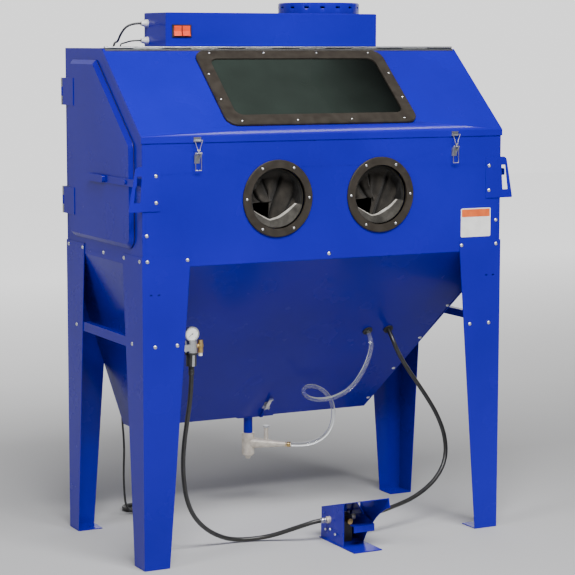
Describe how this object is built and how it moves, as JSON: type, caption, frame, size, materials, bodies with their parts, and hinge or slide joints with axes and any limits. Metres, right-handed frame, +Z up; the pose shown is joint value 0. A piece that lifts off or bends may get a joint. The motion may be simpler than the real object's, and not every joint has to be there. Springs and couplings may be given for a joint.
{
  "type": "sandblast cabinet",
  "caption": "Floor-standing sandblast cabinet with a sloped windowed lid, glove ports, side doors, hopper, foot pedal, light box and dust collector.",
  "frame": {"origin": "on the floor at the centre of the four foot holes", "axes": "+Z up, the operator stands on the -Y side, +X to the operator's right"},
  "size_m": [1.3058, 1.0335, 1.675],
  "materials": {
    "blue_paint": "glossy powder coat",
    "dark_frame": "satin dark brown-black",
    "zinc": "bright zinc plate",
    "galvanised": "galvanised",
    "glass_pane": "clear",
    "glove_rubber": "matt",
    "seal_rubber": "matt",
    "hose_rubber": "satin",
    "clear_tube": "translucent",
    "lead_black": "matt",
    "switch_red": "glossy",
    "black_plastic": "satin",
    "gland_plastic": "satin",
    "cast_alloy": "cast, lightly machined",
    "lamp_tube_glass": "opal",
    "filter_felt": "felt",
    "motor_dark": "painted",
    "regulator_metal": "satin"
  },
  "bodies": {
    "cabinet": {"front_panel": "blue_paint", "rear_panel": "blue_paint", "roof_panel": "blue_paint", "side_panel_left": "blue_paint", "side_panel_right": "blue_paint", "hopper_sides": "blue_paint", "hopper_front": "blue_paint", "hopper_rear": "blue_paint", "legs": "blue_paint", "leg_braces": "blue_paint", "work_grate": "galvanised", "frame_bolts": "zinc", "glove_rings": "dark_frame", "glove_left": "glove_rubber", "glove_right": "glove_rubber", "fixed_hinge_leaves": "zinc", "latch_bases": "zinc", "door_keepers": "blue_paint", "rubber_trim": "seal_rubber", "light_box": "blue_paint", "lamp": "lamp_tube_glass", "switch_bezel": "black_plastic", "cable_glands": "gland_plastic", "collector_drum": "blue_paint", "collector_head": "blue_paint", "collector_filter": "filter_felt", "regulator_body": "regulator_metal", "pickup_pipe": "blue_paint", "media_valve": "cast_alloy", "blast_gun": "cast_alloy", "pedal_base": "blue_paint", "pedal_valve": "cast_alloy", "supply_hose": "hose_rubber", "gun_hose": "hose_rubber", "media_hose": "clear_tube", "mains_lead": "lead_black", "mains_coil": "lead_black", "mains_plug": "black_plastic", "motor_lead": "lead_black"},
    "lid": {"lid_panel": "blue_paint", "window_bezel": "dark_frame", "window_glass": "glass_pane", "lid_hinge_leaf": "zinc", "lid_fittings": "zinc"},
    "latch_lever_left": {"latch_lever_left": "zinc"},
    "latch_bail_left": {"latch_bail_left": "zinc"},
    "side_door_left": {"side_door_left": "blue_paint"},
    "door_handle_left": {"door_handle_left": "blue_paint"},
    "rocker_left": {"rocker_left": "switch_red"},
    "latch_lever_right": {"latch_lever_right": "zinc"},
    "latch_bail_right": {"latch_bail_right": "zinc"},
    "side_door_right": {"side_door_right": "blue_paint"},
    "door_handle_right": {"door_handle_right": "blue_paint"},
    "rocker_right": {"rocker_right": "switch_red"},
    "collector_fan": {"collector_fan": "galvanised"},
    "treadle": {"treadle": "blue_paint"},
    "regulator_knob": {"regulator_knob": "black_plastic"},
    "metering_screw": {"metering_screw": "zinc"},
    "clean_door": {"clean_door": "blue_paint"},
    "clean_latch": {"clean_latch": "zinc"}
  },
  "joints": [
    {"name": "lid_hinge", "type": "hinge", "parent": "cabinet", "child": "lid", "pos_m": [0, -0.011, 1.5275], "axis": [-1, 0, 0], "range_deg": [0, 90]},
    {"name": "latch_lever_left_pivot", "type": "hinge", "parent": "cabinet", "child": "latch_lever_left", "pos_m": [-0.4375, -0.317, 1.224], "axis": [-1, 0, 0], "range_deg": [0, 88]},
    {"name": "latch_bail_left_pivot", "type": "hinge", "parent": "latch_lever_left", "child": "latch_bail_left", "pos_m": [-0.4375, -0.3195, 1.233], "axis": [1, 0, 0], "range_deg": [0, 110]},
    {"name": "latch_lever_right_pivot", "type": "hinge", "parent": "cabinet", "child": "latch_lever_right", "pos_m": [0.4375, -0.317, 1.224], "axis": [-1, 0, 0], "range_deg": [0, 88]},
    {"name": "latch_bail_right_pivot", "type": "hinge", "parent": "latch_lever_right", "child": "latch_bail_right", "pos_m": [0.4375, -0.3195, 1.233], "axis": [1, 0, 0], "range_deg": [0, 110]},
    {"name": "side_door_left_hinge", "type": "hinge", "parent": "cabinet", "child": "side_door_left", "pos_m": [-0.6215, 0.299, 1.2225], "axis": [0, 0, -1], "range_deg": [0, 110]},
    {"name": "door_handle_left_pivot", "type": "hinge", "parent": "side_door_left", "child": "door_handle_left", "pos_m": [-0.6255, -0.22, 1.14], "axis": [1, 0, 0], "range_deg": [0, 75]},
    {"name": "side_door_right_hinge", "type": "hinge", "parent": "cabinet", "child": "side_door_right", "pos_m": [0.6215, 0.299, 1.2225], "axis": [0, 0, 1], "range_deg": [0, 110]},
    {"name": "door_handle_right_pivot", "type": "hinge", "parent": "side_door_right", "child": "door_handle_right", "pos_m": [0.6255, -0.22, 1.14], "axis": [1, 0, 0], "range_deg": [0, 75]},
    {"name": "rocker_left_pivot", "type": "hinge", "parent": "cabinet", "child": "rocker_left", "pos_m": [-0.3315, 0.074, 1.577], "axis": [1, 0, 0], "range_deg": [0, 10]},
    {"name": "rocker_right_pivot", "type": "hinge", "parent": "cabinet", "child": "rocker_right", "pos_m": [-0.3025, 0.074, 1.577], "axis": [1, 0, 0], "range_deg": [0, 10]},
    {"name": "fan_spin", "type": "hinge", "parent": "cabinet", "child": "collector_fan", "pos_m": [0.36, 0.45, 1.595], "axis": [0, 0, 1], "continuous": true},
    {"name": "treadle_pivot", "type": "hinge", "parent": "cabinet", "child": "treadle", "pos_m": [0.085, -0.203, 0.084], "axis": [1, 0, 0], "range_deg": [0, 9], "stiffness_Nm_per_rad": 12, "springref_deg": -14.32},
    {"name": "regulator_knob_spin", "type": "hinge", "parent": "cabinet", "child": "regulator_knob", "pos_m": [-0.446, -0.25, 0.654], "axis": [0, 1, 0], "range_deg": [-135, 135]},
    {"name": "metering_screw_spin", "type": "hinge", "parent": "cabinet", "child": "metering_screw", "pos_m": [0.04949, 0.22415, 0.27], "axis": [0, 0, 1], "range_deg": [-170, 170]},
    {"name": "clean_door_hinge", "type": "hinge", "parent": "cabinet", "child": "clean_door", "pos_m": [0.053, 0.301, 0.313], "axis": [1, 0, 0], "range_deg": [0, 24]},
    {"name": "clean_latch_pivot", "type": "hinge", "parent": "cabinet", "child": "clean_latch", "pos_m": [0.036, 0.19287, 0.34985], "axis": [1, 0, 0], "range_deg": [0, 100]}
  ],
  "couplings": [
    {"joint": "latch_bail_left_pivot", "follows": "latch_lever_left_pivot", "ratio": 1.2},
    {"joint": "latch_bail_right_pivot", "follows": "latch_lever_right_pivot", "ratio": 1.2}
  ]
}
